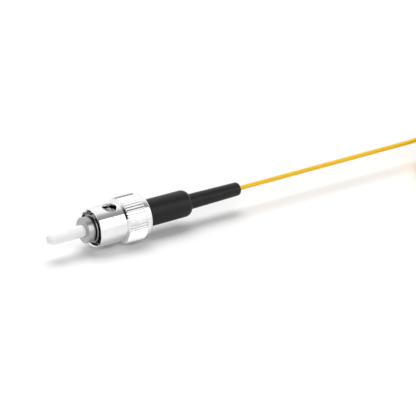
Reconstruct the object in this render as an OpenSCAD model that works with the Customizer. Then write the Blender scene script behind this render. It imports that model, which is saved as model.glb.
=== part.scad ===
// Bayonet fibre-optic plug on a 0.9 mm pigtail, with its coupling nut, spring and boot.
// All lengths are in millimetres. The plug lies along X, with the ferrule's tip towards -X.

/* [Ferrule] */
// Diameter of the ceramic ferrule
ferrule_d = 2.5; // [2.4:0.05:2.6]
// Length of the ferrule
ferrule_l = 12; // [11:0.25:13]
// Length of ferrule that stands out of its holder
ferrule_out_l = 8; // [7:0.25:8.5]
// Length of the bevel at the ferrule's tip
tip_bevel_l = 0.6; // [0.3:0.05:0.9]
// Diameter of the polished face at the tip
tip_face_d = 1.56; // [1.2:0.02:1.9]
// Radius of the polished face's dome
tip_dome_r = 12; // [8:1:25]
// Width of the glue groove round the ferrule, just inside the holder
glue_groove_w = 0.65; // [0.6:0.05:1]
// Depth of the glue groove
glue_groove_depth = 0.2; // [0.15:0.05:0.4]
// Length of the funnel that leads the fibre into the ferrule
funnel_l = 1.4; // [1:0.1:2]
// Diameter of the funnel's mouth
funnel_d = 1.2; // [0.8:0.1:1.6]

/* [Fibre] */
// Diameter of the glass fibre
glass_d = 0.125; // [0.12:0.005:0.14]
// Diameter of the fibre's primary coating
coating_d = 0.25; // [0.2:0.01:0.3]
// Length of coating left bare behind the glass
coating_l = 1.3; // [1:0.1:1.6]
// Diameter of the tight buffer
buffer_d = 0.9; // [0.8:0.05:1]
// Running gap round the glass in the ferrule, on the radius
glass_gap = 0.0015; // [0.001:0.0005:0.004]
// Gap round the buffer where it passes through the metal, on the radius
buffer_gap = 0.05; // [0.02:0.01:0.1]

/* [Ferrule holder] */
// Diameter of the holder's head
holder_head_d = 5.2; // [4.8:0.1:5.4]
// Length of the holder's head
holder_head_l = 1.45; // [1:0.05:2]
// Bevel on the head's front edge
holder_bevel = 0.15; // [0.05:0.05:0.3]
// Countersink round the ferrule in the head's face
holder_sink = 0.12; // [0.05:0.01:0.2]
// Diameter of the holder's neck
holder_neck_d = 3.9; // [3.6:0.1:4.2]
// Length of the holder's neck
holder_neck_l = 3.75; // [3:0.25:4.5]

/* [Plug body] */
// Gap between the holder's head and the body's front face
front_gap = 0.25; // [0.1:0.05:0.5]
// Diameter of the body's front tube
front_d = 5.8; // [5.4:0.1:6]
// Length of the front tube
front_l = 3.7; // [3:0.1:4.5]
// Bevel on the front tube's edge
front_bevel = 0.2; // [0.1:0.05:0.3]
// Width of the key that sets the plug's angle
key_w = 1.2; // [0.8:0.1:1.6]
// Height of the key above the front tube
key_h = 0.5; // [0.3:0.05:0.5]
// Length of the key
key_l = 2.8; // [2:0.1:3.5]
// Angle of the key about the plug's axis, from the top
key_angle = 20; // [0:5:90]
// Diameter of the flange that the spring pushes on
flange_d = 6.6; // [6.4:0.05:6.65]
// Thickness of the flange
flange_l = 1; // [0.6:0.1:1.2]
// Diameter of the stem that the nut slides on
stem_d = 4.6; // [4.4:0.05:4.7]
// Length of the stem
stem_l = 6.7; // [6.5:0.1:7.5]
// Diameter of the barbed tail inside the boot
tail_d = 3.7; // [3.4:0.1:3.9]
// Length of the barbed tail
tail_l = 6.9; // [5:0.1:8]
// Height of the barbs
barb_h = 0.15; // [0.1:0.05:0.25]
// Number of barbs
barbs = 3; // [2:1:4]
// Diameter of the bore along the body
body_bore_d = 1.9; // [1.6:0.1:2.2]

/* [Coupling nut] */
// Length of the nut
nut_l = 11.7; // [11.5:0.1:12.5]
// Diameter of the smooth barrel
barrel_d = 8; // [7.9:0.05:8.2]
// Length of the smooth barrel, with its rounded rim
barrel_l = 5.85; // [5.8:0.05:6.2]
// Rounding of the barrel's front rim along the axis
front_rim_l = 0.4; // [0.3:0.05:0.6]
// Rounding of the barrel's front rim on the radius
front_rim_h = 0.22; // [0.15:0.01:0.25]
// Diameter over the knurl's crests
knurl_d = 9.5; // [9.2:0.1:10]
// Number of ridges in the knurl
ridges = 48; // [36:4:60]
// Depth of the grooves between the ridges
ridge_h = 0.3; // [0.2:0.05:0.35]
// Length of the cone at the knurl's front
knurl_cone_l = 0.4; // [0.3:0.05:0.8]
// Length of the knurl behind its cone
knurl_l = 4; // [3.5:0.1:4.4]
// Length of the cone at the knurl's back
knurl_back_l = 0.15; // [0.1:0.05:0.3]
// Diameter of the plain rim behind the knurl
back_rim_d = 8.8; // [8.6:0.05:8.85]
// Rounding of the back rim
back_rim_r = 0.55; // [0.3:0.05:0.6]
// Diameter of the nut's mouth, over the adapter's sleeve
nut_bore_d = 7.1; // [7:0.05:7.2]
// Bevel inside the nut's mouth
mouth_bevel = 0.15; // [0.05:0.05:0.2]
// Length of the mouth's bore
nut_bore_l = 5.45; // [5.2:0.05:6]
// Thickness of the web that the spring pushes back
web_t = 1.3; // [1:0.1:1.6]
// Depth of the recess in the nut's back
recess_l = 1.45; // [1.2:0.05:1.6]
// Diameter of the recess in the nut's back
recess_d = 6.1; // [6:0.05:6.4]

/* [Bayonet] */
// Width of the slots that take the adapter's lugs
lug_slot_w = 2.2; // [2:0.05:2.3]
// Wall left outside the slots' floor
slot_wall = 0.18; // [0.12:0.02:0.24]
// Distance from the nut's rim to the middle of the slots' turn
slot_turn_z = 1.3; // [1.1:0.05:1.5]
// Diameter of the locking windows
window_d = 2.85; // [2.4:0.05:3]
// Distance from the nut's rim to the middle of the windows
window_z = 3.85; // [3.6:0.05:4]
// Angle of the first window about the axis, from the top
window_angle = 7; // [0:1:90]
// Angle that the ramps turn through, from slot to window
ramp_turn = 74; // [60:2:90]
// How much narrower the ramps are than the slots, on each side
ramp_step = 0.05; // [0.03:0.01:0.1]

/* [Spring and washers] */
// Diameter of the spring wire
wire_d = 0.4; // [0.3:0.02:0.44]
// Mean diameter of the spring
spring_d = 5.7; // [5.6:0.02:5.8]
// Number of turns in the spring
spring_turns = 5; // [4:1:6]
// Thickness of the thrust washer behind the spring
thrust_t = 0.4; // [0.3:0.05:0.6]
// Thickness of the slip washer behind the nut's web
slip_t = 0.25; // [0.2:0.05:0.35]
// Thickness of the retaining ring
ring_t = 0.45; // [0.35:0.05:0.6]
// Height of the retaining ring, from its groove's floor
ring_h = 0.9; // [0.7:0.05:1]
// Depth of the ring's groove in the stem
ring_groove_depth = 0.35; // [0.25:0.05:0.4]
// Length of stem left behind the ring's groove
ring_land_l = 0.2; // [0.15:0.05:0.3]
// Opening in the retaining ring
ring_open = 40; // [20:5:70]
// Clearance round what turns or slides, on the radius
run_gap = 0.06; // [0.04:0.01:0.08]
// Clearance round the flange and washer inside the nut, on the radius
chamber_gap = 0.1; // [0.08:0.01:0.12]

/* [Boot] */
// Diameter of the boot's front
boot_d = 5.5; // [5.2:0.05:5.7]
// Diameter of the boot just before its shoulder
boot_back_d = 5.4; // [5:0.05:5.5]
// Length of the boot's thick part
boot_body_l = 9.7; // [9:0.1:11]
// Length of the rounded shoulder
shoulder_l = 1.3; // [1:0.1:1.6]
// Diameter at the foot of the shoulder
collar_d = 3.3; // [3.2:0.05:3.6]
// Length of the collar behind the shoulder
collar_l = 0.5; // [0.3:0.1:0.8]
// Diameter of the boot's tail where it starts
boot_tail_d = 3.1; // [2.9:0.05:3.2]
// Diameter of the boot's tail at its end
boot_end_d = 2.7; // [2.5:0.05:2.9]
// Length of the boot's tail
boot_tail_l = 11.4; // [10:0.1:13]
// Rounding of the boot's end
boot_end_r = 0.75; // [0.4:0.05:0.8]
// Distance that the guide tube starts behind the holder
guide_gap = 0.4; // [0.2:0.1:0.8]
// Length of guide tube that stands out of the body
guide_out_l = 1.2; // [0.8:0.1:2]
// Space left behind the guide tube in the boot
guide_end_gap = 0.1; // [0:0.05:0.3]

/* [Stored fibre] */
// Mean diameter of the coil
coil_d = 9; // [9:0.1:10]
// Turns side by side in the coil's widest layer
coil_across = 5; // [3:1:6]
// Layers in the coil
coil_layers = 7; // [3:2:9]
// Width of the ties
tie_w = 2; // [1.5:0.1:2.4]
// Thickness of the ties
tie_t = 0.3; // [0.2:0.05:0.4]

/* [Hidden] */

$fn = 96;
arc_steps = 6;
// How far a cutting tool runs past the face that it cuts
past = 0.1;

// Distances along the plug's axis, from the ferrule's tip
holder_z = ferrule_out_l;
neck_z = holder_z + holder_head_l;
holder_end_z = neck_z + holder_neck_l;
body_z = neck_z + front_gap;
flange_z = body_z + front_l;
stem_z = flange_z + flange_l;
tail_z = stem_z + stem_l;
tail_end_z = tail_z + tail_l;
ring_z = tail_z - ring_land_l - ring_t;
slip_z = ring_z - slip_t;
web_z = slip_z - web_t;
thrust_z = web_z - thrust_t;
nut_z = slip_z + recess_l - nut_l;
barrel_end_z = nut_z + barrel_l;
knurl_z = barrel_end_z + knurl_cone_l;
knurl_end_z = knurl_z + knurl_l;
nut_end_z = nut_z + nut_l;
shoulder_z = tail_z + boot_body_l;
collar_z = shoulder_z + shoulder_l;
boot_tail_z = collar_z + collar_l;
overall_l = boot_tail_z + boot_tail_l;
guide_z = holder_end_z + guide_gap;
guide_end_z = tail_end_z + guide_out_l;
glass_l = ferrule_l - funnel_l + 0.4;
coating_end_z = glass_l + coating_l;

// Radii that several pieces share
ferrule_r = ferrule_d / 2;
buffer_r = buffer_d / 2;
passage_r = buffer_r + buffer_gap;
stem_r = stem_d / 2;
ring_root_r = stem_r - ring_groove_depth;
chamber_r = flange_d / 2 + chamber_gap;
slot_floor_r = barrel_d / 2 - slot_wall;
barb_r = tail_d / 2 + barb_h;
guide_r = body_bore_d / 2;

// Height of the plug's axis above the surface that the nut lies on
axis_h = knurl_d / 2;

// The stored fibre: its middle, its layers and the surfaces of its bundle
coil_middle = [67.5, -6.3];
layer_rise = buffer_d * sin(60);
coil_half_w = coil_across * buffer_d / 2;
coil_in_r = coil_d / 2 - coil_half_w;
coil_out_r = coil_d / 2 + coil_half_w;
coil_top = tie_t + buffer_d + (coil_layers - 1) * layer_rise;
tie_angle = 45;

// Route of the straight fibre, from the boot's end to the top of the coil
lead_route = [
    [overall_l / 2, 0, axis_h], [24, 0, 4.75], [26.5, 0, 4.75], [29, 0, 4.75], [31.5, 0, 4.75],
    [34, 0, 4.75], [36.5, 0, 4.75], [39, 0, 4.75], [41.5, 0, 4.75], [44, 0, 4.75],
    [46.5, 0, 4.75], [49, 0, 4.75], [51.5, 0, 4.75], [54, 0, 4.75], [56.5, 0, 4.75],
    [59, 0, 4.75], [61, 0, 4.75], [62.5, 0, 4.8], [64, 0, 4.95], [65.5, 0, 5.2]
];

// Points of an arc round [x, y] with half-axes rx and ry, from angle a to angle b
function arc(x, y, rx, ry, a, b, steps = arc_steps) = [
    for (i = [0 : steps])
        let (t = a + (b - a) * i / steps)
            [x + rx * cos(t), y + ry * sin(t)]
];

// Corners of the knurl's outline: five for each ridge, with a crest on the top line
function knurl_outline(crest_r, root_r) = let (pitch = 360 / ridges, brow = crest_r - ridge_h / 6) [
    for (i = [0 : ridges - 1])
        for (corner = [[-0.38, root_r], [-0.16, brow], [0, crest_r], [0.16, brow], [0.38, root_r]])
            let (t = (i + corner[0]) * pitch)
                corner[1] * [cos(t), sin(t)]
];

// Distance along the spring of the wire's middle after t turns: the end turns lie closed
function wire_z(t) = let (
    free_l = thrust_z - stem_z - 3 * wire_d,
    rise = free_l / (spring_turns - 2)
) stem_z + wire_d * (0.5 + min(t, 1) + max(t - spring_turns + 1, 0))
    + rise * max(0, min(t - 1, spring_turns - 2));

// Moves to the plug: Z runs from the ferrule's tip to the boot's end, X points up
module on_axis() translate([-overall_l / 2, 0, axis_h]) rotate([0, 90, 0]) rotate([0, 0, 180]) children();

// A solid turned about the plug's axis, from [radius, distance] corners
module turned(outline) rotate_extrude() polygon(outline);

// A plain ring or tube from one distance to another
module sleeve(inner_r, outer_r, z, end_z) {
    turned([[inner_r, z], [outer_r, z], [outer_r, end_z], [inner_r, end_z]]);
}

// A closed skin over rings of corners, which run right-handed about the way from ring to ring
module skin(rings) {
    sides = len(rings[0]);
    last = (len(rings) - 1) * sides;
    polyhedron(
        points = [for (ring = rings) each ring],
        faces = concat(
            [[for (j = [0 : sides - 1]) j]],
            [
                for (i = [0 : len(rings) - 2], j = [0 : sides - 1])
                    let (a = i * sides, b = a + sides, k = (j + 1) % sides)
                        each [[a + j, b + j, b + k], [a + j, b + k, a + k]]
            ],
            [[for (j = [sides - 1 : -1 : 0]) last + j]]
        ),
        convexity = 10
    );
}

// Ceramic ferrule with a domed, bevelled tip and a fine bore that opens into a funnel
module ferrule() color("white") on_axis() {
    hole_r = glass_d / 2 + glass_gap;
    dome = asin(tip_face_d / 2 / tip_dome_r);
    turned(concat(
        arc(0, tip_dome_r, tip_dome_r, tip_dome_r, asin(hole_r / tip_dome_r) - 90, dome - 90),
        [
            [ferrule_r, tip_bevel_l],
            [ferrule_r, holder_z + past],
            [ferrule_r - glue_groove_depth, holder_z + past],
            [ferrule_r - glue_groove_depth, holder_z + past + glue_groove_w],
            [ferrule_r, holder_z + past + glue_groove_w],
            [ferrule_r, ferrule_l],
            [funnel_d / 2, ferrule_l],
            [hole_r, ferrule_l - funnel_l]
        ]
    ));
}

// Bare glass, glued along the ferrule's bore
module glass_fibre() color("lightcyan") on_axis() cylinder(d = glass_d, h = glass_l);

// Primary coating, between the glass and the buffer
module fibre_coating() color("ivory") on_axis() {
    translate([0, 0, glass_l]) cylinder(d = coating_d, h = coating_l);
}

// Tight buffer inside the plug
module fibre_buffer() color("gold") on_axis() {
    translate([0, 0, coating_end_z]) cylinder(d = buffer_d, h = overall_l - coating_end_z);
}

// Turned holder that the ferrule is pressed into
module ferrule_holder() color("silver") on_axis() turned([
    [ferrule_r + holder_sink, holder_z],
    [holder_head_d / 2 - holder_bevel, holder_z],
    [holder_head_d / 2, holder_z + holder_bevel],
    [holder_head_d / 2, neck_z],
    [holder_neck_d / 2, neck_z],
    [holder_neck_d / 2, holder_end_z],
    [passage_r, holder_end_z],
    [passage_r, ferrule_l],
    [ferrule_r, ferrule_l],
    [ferrule_r, holder_z + holder_sink]
]);

// Turned body: front tube with its key, flange, stem with the ring's groove, barbed tail
module plug_body() color("silver") on_axis() {
    front_r = front_d / 2;
    barb_pitch = tail_l / barbs;
    tail_r = tail_d / 2;
    turned(concat(
        [
            [holder_neck_d / 2, body_z],
            [front_r - front_bevel, body_z],
            [front_r, body_z + front_bevel],
            [front_r, flange_z],
            [flange_d / 2, flange_z],
            [flange_d / 2, stem_z],
            [stem_r, stem_z],
            [stem_r, ring_z],
            [ring_root_r, ring_z],
            [ring_root_r, ring_z + ring_t],
            [stem_r, ring_z + ring_t],
            [stem_r, tail_z]
        ],
        [
            for (i = [0 : barbs - 1])
                let (z = tail_z + i * barb_pitch)
                    each [[tail_r, z], [tail_r, z + barb_pitch * 0.3], [barb_r, z + barb_pitch * 0.3],
                        [tail_r, z + barb_pitch * 0.9]]
        ],
        [
            [tail_r, tail_end_z],
            [guide_r, tail_end_z],
            [guide_r, holder_end_z],
            [holder_neck_d / 2, holder_end_z]
        ]
    ));
    rotate([0, 0, key_angle]) translate([front_r - key_h, -key_w / 2, body_z]) {
        cube([2 * key_h, key_w, key_l]);
    }
}

// Compression spring between the body's flange and the thrust washer
module spring() color("gainsboro") on_axis() {
    turn_steps = 24;
    wire_sides = 8;
    skin([
        for (i = [0 : spring_turns * turn_steps])
            let (turns = i / turn_steps, t = 360 * turns) [
                for (j = [0 : wire_sides - 1])
                    let (
                        s = -360 * j / wire_sides,
                        r = spring_d / 2 + wire_d / 2 * cos(s)
                    )
                        [r * cos(t), r * sin(t), wire_z(turns) + wire_d / 2 * sin(s)]
            ]
    ]);
}

// Washer that carries the spring's push to the nut's web
module thrust_washer() color("darkgray") on_axis() {
    sleeve(stem_r + run_gap, chamber_r - chamber_gap, thrust_z, web_z);
}

// One lug slot: the way in from the rim with its round end, and the ramp round to its window
module lug_way(angle) {
    entry_angle = angle - ramp_turn;
    half_w = lug_slot_w / 2;
    half_ramp = half_w - ramp_step;
    turn_z = nut_z + slot_turn_z;
    inner_r = nut_bore_d / 2 - 2 * ridge_h;
    outer_r = slot_floor_r + past;
    steps = 16;
    intersection() {
        union() {
            rotate([0, 0, entry_angle]) translate([inner_r, 0, turn_z]) rotate([90, 0, 90]) {
                linear_extrude(outer_r - inner_r) polygon(concat(
                    [[-half_w, -slot_turn_z - 2 * past], [half_w, -slot_turn_z - 2 * past]],
                    arc(0, 0, half_w, half_w, 0, 180, 9)
                ));
            }
            skin([
                for (i = [0 : steps])
                    let (
                        t = entry_angle + ramp_turn * i / steps,
                        z = turn_z + (window_z - slot_turn_z) * i / steps
                    ) [
                        for (corner = [[inner_r - past, -half_ramp], [inner_r - past, half_ramp],
                                [outer_r + past, half_ramp], [outer_r + past, -half_ramp]])
                            [corner[0] * cos(t), corner[0] * sin(t), z + corner[1]]
                    ]
            ]);
        }
        translate([0, 0, nut_z - past]) cylinder(r = slot_floor_r, h = nut_bore_l + past);
    }
}

// Outside of the nut before its bores: smooth barrel, knurled grip and plain back rim
module nut_blank() {
    barrel_r = barrel_d / 2;
    back_r = back_rim_d / 2;
    crest_r = knurl_d / 2;
    front_slope = (crest_r - barrel_r) / knurl_cone_l;
    back_slope = (crest_r - back_r) / knurl_back_l;
    knurl_back_z = knurl_end_z + knurl_back_l;
    turned(concat(
        [[0, nut_z]],
        arc(barrel_r - front_rim_h, nut_z + front_rim_l, front_rim_h, front_rim_l, -90, 0),
        [[barrel_r, knurl_z], [back_r, knurl_z]],
        arc(back_r - back_rim_r, nut_end_z - back_rim_r, back_rim_r, back_rim_r, 0, 90),
        [[0, nut_end_z]]
    ));
    intersection() {
        translate([0, 0, barrel_end_z - past]) {
            linear_extrude(knurl_back_z - barrel_end_z + 2 * past) {
                polygon(knurl_outline(crest_r, crest_r - ridge_h));
            }
        }
        turned([
            [0, barrel_end_z - past / 2],
            [barrel_r - front_slope * past / 2, barrel_end_z - past / 2],
            [crest_r + past, knurl_z + past / front_slope],
            [crest_r + past, knurl_end_z - past / back_slope],
            [back_r - back_slope * past / 2, knurl_back_z + past / 2],
            [0, knurl_back_z + past / 2]
        ]);
    }
}

// Bayonet coupling nut: two lug slots with ramps and windows, a spring chamber and a web
module coupling_nut() color("silver") on_axis() difference() {
    nut_blank();
    turned([
        [0, nut_z - past],
        [nut_bore_d / 2 + mouth_bevel + past, nut_z - past],
        [nut_bore_d / 2, nut_z + mouth_bevel],
        [nut_bore_d / 2, nut_z + nut_bore_l],
        [chamber_r, nut_z + nut_bore_l],
        [chamber_r, web_z],
        [stem_r + run_gap, web_z],
        [stem_r + run_gap, slip_z],
        [recess_d / 2, slip_z],
        [recess_d / 2, nut_end_z + past],
        [0, nut_end_z + past]
    ]);
    for (side = [0, 180]) {
        rotate([0, 0, window_angle + side]) translate([stem_r, 0, nut_z + window_z]) {
            rotate([0, 90, 0]) cylinder(d = window_d, h = knurl_d / 2);
        }
        lug_way(window_angle + side);
    }
}

// Washer that the nut's web turns against
module slip_washer() color("dimgray") on_axis() {
    sleeve(stem_r + run_gap, recess_d / 2 - chamber_gap, slip_z, ring_z);
}

// Open ring snapped into the stem's groove, which holds the nut on
module retaining_ring() color("darkgray") on_axis() difference() {
    sleeve(ring_root_r, ring_root_r + ring_h, ring_z, ring_z + ring_t);
    reach = 2 * (ring_root_r + ring_h);
    translate([0, 0, ring_z - past]) linear_extrude(ring_t + 2 * past) {
        polygon([[0, 0], reach * [cos(ring_open / 2), sin(ring_open / 2)],
            reach * [cos(ring_open / 2), -sin(ring_open / 2)]]);
    }
}

// Thin tube that leads the fibre through the body into the boot
module guide_tube() color("whitesmoke") on_axis() sleeve(passage_r, guide_r, guide_z, guide_end_z);

// Rubber boot: thick part over the barbed tail, rounded shoulder, slim tail
module boot() color([0.06, 0.06, 0.065]) on_axis() {
    back_r = boot_back_d / 2;
    collar_r = collar_d / 2;
    end_r = boot_end_d / 2;
    turned(concat(
        [[barb_r, tail_z], [boot_d / 2, tail_z]],
        arc(collar_r, shoulder_z, back_r - collar_r, shoulder_l, 0, 90),
        [[collar_r, boot_tail_z], [boot_tail_d / 2, boot_tail_z]],
        arc(end_r - boot_end_r, overall_l - boot_end_r, boot_end_r, boot_end_r, 0, 90),
        [
            [buffer_r, overall_l],
            [buffer_r, guide_end_z + guide_end_gap],
            [guide_r, guide_end_z + guide_end_gap],
            [guide_r, tail_end_z + guide_end_gap],
            [barb_r, tail_end_z + guide_end_gap]
        ]
    ));
}

// Straight fibre from the boot to the coil
module fibre_lead() color("gold") {
    sides = 8;
    last = len(lead_route) - 1;
    skin([
        for (i = [0 : last])
            let (
                way = lead_route[min(i + 1, last)] - lead_route[max(i - 1, 0)],
                up = cross(way, [0, 1, 0]) / norm(way)
            ) [
                for (j = [0 : sides - 1])
                    lead_route[i] + buffer_r * (cos(360 * j / sides) * [0, 1, 0] + sin(360 * j / sides) * up)
            ]
    ]);
}

// The stored turns of fibre as one bundle
module fibre_coil() color("gold") translate([coil_middle[0], coil_middle[1], 0]) turned(concat(
    arc(coil_in_r + buffer_r, tie_t + buffer_r, buffer_r, buffer_r, 180, 270),
    arc(coil_out_r - buffer_r, tie_t + buffer_r, buffer_r, buffer_r, 270, 360),
    arc(coil_out_r - buffer_r, coil_top - buffer_r, buffer_r, buffer_r, 0, 90),
    arc(coil_in_r + buffer_r, coil_top - buffer_r, buffer_r, buffer_r, 90, 180)
));

// Flat tie that closes round the coil's bundle at one angle
module coil_tie(angle) {
    near_r = sqrt(pow(coil_in_r, 2) - pow(tie_w / 2, 2));
    translate([coil_middle[0], coil_middle[1], 0]) rotate([90, 0, angle]) {
        linear_extrude(tie_w, center = true) difference() {
            translate([near_r - tie_t, 0]) square([coil_out_r - near_r + 2 * tie_t, coil_top + tie_t]);
            translate([near_r, tie_t]) square([coil_out_r - near_r, coil_top - tie_t]);
        }
    }
}

module coil_tie_front() color("white") coil_tie(tie_angle + 180);

module coil_tie_back() color("white") coil_tie(tie_angle);

ferrule();
glass_fibre();
fibre_coating();
fibre_buffer();
ferrule_holder();
plug_body();
spring();
thrust_washer();
coupling_nut();
slip_washer();
retaining_ring();
guide_tube();
boot();
fibre_lead();
fibre_coil();
coil_tie_front();
coil_tie_back();
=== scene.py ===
"""Looks of a bayonet fibre-optic plug and its pigtail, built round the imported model.

Each operator makes one piece, or one group of like pieces, in metres and in the model's own
frame: the plug lies along X with the ferrule's tip towards -X, and Z is up.
"""

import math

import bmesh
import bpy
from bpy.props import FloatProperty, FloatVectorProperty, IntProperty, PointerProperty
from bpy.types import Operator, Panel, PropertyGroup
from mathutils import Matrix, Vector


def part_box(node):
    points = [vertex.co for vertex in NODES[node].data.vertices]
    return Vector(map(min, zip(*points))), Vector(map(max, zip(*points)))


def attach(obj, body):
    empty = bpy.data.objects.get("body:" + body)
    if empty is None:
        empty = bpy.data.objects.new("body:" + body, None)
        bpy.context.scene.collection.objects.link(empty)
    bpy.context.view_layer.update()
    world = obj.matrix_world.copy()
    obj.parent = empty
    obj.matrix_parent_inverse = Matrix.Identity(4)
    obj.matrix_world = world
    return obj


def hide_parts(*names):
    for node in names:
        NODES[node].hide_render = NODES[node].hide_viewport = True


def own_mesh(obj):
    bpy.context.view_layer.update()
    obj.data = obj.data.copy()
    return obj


bl_info = {
    "name": "Bayonet Fibre Plug",
    "version": (1, 0, 0),
    "blender": (4, 5, 0),
    "location": "View3D > Sidebar > Fibre Plug",
    "description": "Ceramic ferrule, coupling nut, boot and pigtail of a fibre-optic plug",
    "category": "Object",
}

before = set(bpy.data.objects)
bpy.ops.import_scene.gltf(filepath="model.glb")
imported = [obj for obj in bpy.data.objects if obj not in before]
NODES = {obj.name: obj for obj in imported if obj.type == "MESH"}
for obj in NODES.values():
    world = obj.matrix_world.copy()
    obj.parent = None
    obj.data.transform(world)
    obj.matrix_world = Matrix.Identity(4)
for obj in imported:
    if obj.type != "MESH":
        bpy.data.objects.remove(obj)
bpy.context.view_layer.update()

# How far a cutter runs past the wall that it cuts
REACH = 0.0006

# Height of the plug's axis above the floor
AXIS_HEIGHT = sum(corner.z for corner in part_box("ferrule")) / 2


def length(name, description, default):
    """A length property, in metres."""
    return FloatProperty(
        name=name, description=description, default=default, min=0, unit="LENGTH", precision=6
    )


def angle(name, description, degrees):
    """An angle property, given in degrees and kept in radians."""
    return FloatProperty(
        name=name, description=description, default=math.radians(degrees), subtype="ANGLE"
    )


def colour(name, description, default):
    """A linear colour property."""
    return FloatVectorProperty(
        name=name, description=description, default=default, size=3, min=0, max=1, subtype="COLOR"
    )


class PlugSizes(PropertyGroup):
    """Sizes of the ferrule, its holder, the body and the boot."""

    tip_face: length("Tip face", "Radius of the polished face at the ferrule's tip", 0.00078)
    tip_dome: length("Tip dome", "How far the polished face bulges", 0.000025)
    tip_bevel: length("Tip bevel", "Length of the bevel at the ferrule's tip", 0.0006)
    tip_round: length("Tip rounding", "Rounding where the bevel meets the ferrule", 0.00025)
    ferrule_radius: length("Ferrule radius", "Radius of the ceramic ferrule", 0.00125)
    glass_radius: length("Glass radius", "Radius of the hole for the glass", 0.000064)
    head_radius: length("Head radius", "Radius of the holder's head", 0.0026)
    head_length: length("Head length", "Length of the holder's head", 0.00145)
    head_bevel: length("Head bevel", "Rounding of the head's front edge", 0.00012)
    head_sink: length("Head countersink", "Countersink round the ferrule", 0.00012)
    neck_radius: length("Neck radius", "Radius of the holder's neck", 0.00195)
    passage: length("Passage radius", "Radius of the hole for the buffer", 0.0005)
    front_radius: length("Front tube radius", "Radius of the body's front tube", 0.0029)
    front_length: length("Front tube length", "Length of the body's front tube", 0.0037)
    flange_radius: length("Flange radius", "Radius of the body's flange", 0.0033)
    flange_length: length("Flange thickness", "Thickness of the body's flange", 0.001)
    stem_radius: length("Stem radius", "Radius of the body's stem", 0.0023)
    boot_shoulder: length("Shoulder", "Distance from the boot's front to its shoulder", 0.0097)
    boot_back: length("Boot radius", "Radius of the boot just before its shoulder", 0.0027)
    collar_radius: length("Collar radius", "Radius of the collar behind the shoulder", 0.00165)
    collar_length: length("Collar length", "Length of that collar", 0.0005)
    tail_front: length("Tail front", "Radius of the boot's tail where it starts", 0.00155)
    tail_end: length("Tail end", "Radius of the boot's tail at its end", 0.00135)
    tail_round: length("Tail rounding", "Rounding of the boot's end", 0.0007)
    boot_front: length("Boot front", "Radius of the boot at its front", 0.00275)
    shoulder_length: length("Shoulder length", "Length of the boot's rounded shoulder", 0.0013)
    boot_gap: length("Boot gap", "Gap between the boot's steps and what they hold", 0.0001)
    fibre_hole: length("Fibre hole", "Radius of the boot's hole at its end", 0.00045)
    groove_in: length("Glue groove place", "Distance of the glue groove into the holder", 0.0001)
    groove_width: length("Glue groove width", "Width of the glue groove", 0.00065)
    groove_depth: length("Glue groove depth", "Depth of the glue groove", 0.0002)
    funnel_radius: length("Funnel radius", "Radius of the funnel at the ferrule's back", 0.0006)
    funnel_length: length("Funnel length", "Length of that funnel", 0.0014)
    body_bore: length("Body bore", "Radius of the bore through the body", 0.00095)
    ring_groove: length("Ring groove", "Depth of the retaining ring's groove", 0.00035)
    tail_radius: length("Tail radius", "Radius of the body's barbed tail", 0.00185)
    barb_height: length("Barb height", "Height of the barbs", 0.00015)
    barbs: IntProperty(name="Barbs", description="Number of barbs", default=3, min=1)
    key_width: length("Key width", "Width of the key", 0.0012)
    key_height: length("Key height", "How far the key stands out", 0.0005)
    key_length: length("Key length", "Length of the key", 0.0028)
    key_angle: angle("Key angle", "Angle of the key from the top", 20)
    wire_radius: length("Wire radius", "Radius of the spring's wire", 0.0002)
    spring_radius: length("Spring radius", "Mean radius of the spring", 0.00285)
    spring_turns: IntProperty(name="Spring turns", description="Turns of the spring", default=5, min=3)
    nut_travel: length("Nut travel", "How far the nut is pushed forward", 0.002)


class NutSizes(PropertyGroup):
    """Sizes of the coupling nut and its bayonet."""

    barrel_radius: length("Barrel radius", "Radius of the smooth barrel", 0.004)
    barrel_length: length("Barrel length", "Length of the smooth barrel with its rim", 0.00585)
    rim_round: length("Rim rounding", "Rounding of the front rim", 0.0003)
    cone_length: length("Cone length", "Length of the cone in front of the knurl", 0.0004)
    knurl_length: length("Knurl length", "Length of the knurl behind its cone", 0.004)
    knurl_back: length("Knurl back", "Length of the cone behind the knurl", 0.00015)
    ridge_height: length("Ridge height", "Depth of the grooves between the ridges", 0.0003)
    ridges: IntProperty(name="Ridges", description="Number of ridges", default=48, min=12, max=96)
    back_radius: length("Back rim radius", "Radius of the plain rim behind the knurl", 0.0044)
    back_round: length("Back rounding", "Rounding of the back rim", 0.0005)
    bore_radius: length("Bore radius", "Radius of the nut's mouth", 0.00355)
    bore_length: length("Bore length", "Length of the mouth's bore", 0.00545)
    chamber_radius: length("Chamber radius", "Radius of the spring's chamber", 0.0034)
    web_front: length("Web front", "Distance from the rim to the web", 0.00895)
    web_back: length("Web back", "Distance from the rim to the web's back", 0.01025)
    web_radius: length("Web bore", "Radius of the bore through the web", 0.00236)
    recess_radius: length("Recess radius", "Radius of the recess in the nut's back", 0.00305)
    window_radius: length("Window radius", "Radius of the locking windows", 0.001425)
    window_place: length("Window place", "Distance from the rim to the windows", 0.00385)
    window_edge: length("Window edge", "Bevel round the windows' outer edge", 0.00009)
    window_angle: angle("Window angle", "Angle of the first window from the top", 7)
    slot_width: length("Slot width", "Width of the lug slots", 0.0022)
    slot_floor: length("Slot floor", "Radius of the lug slots' floor", 0.00382)
    slot_turn: length("Slot turn", "Distance from the rim to the slots' turn", 0.0013)
    ramp_turn: angle("Ramp turn", "Angle from the lug slot to its window", 74)


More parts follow.
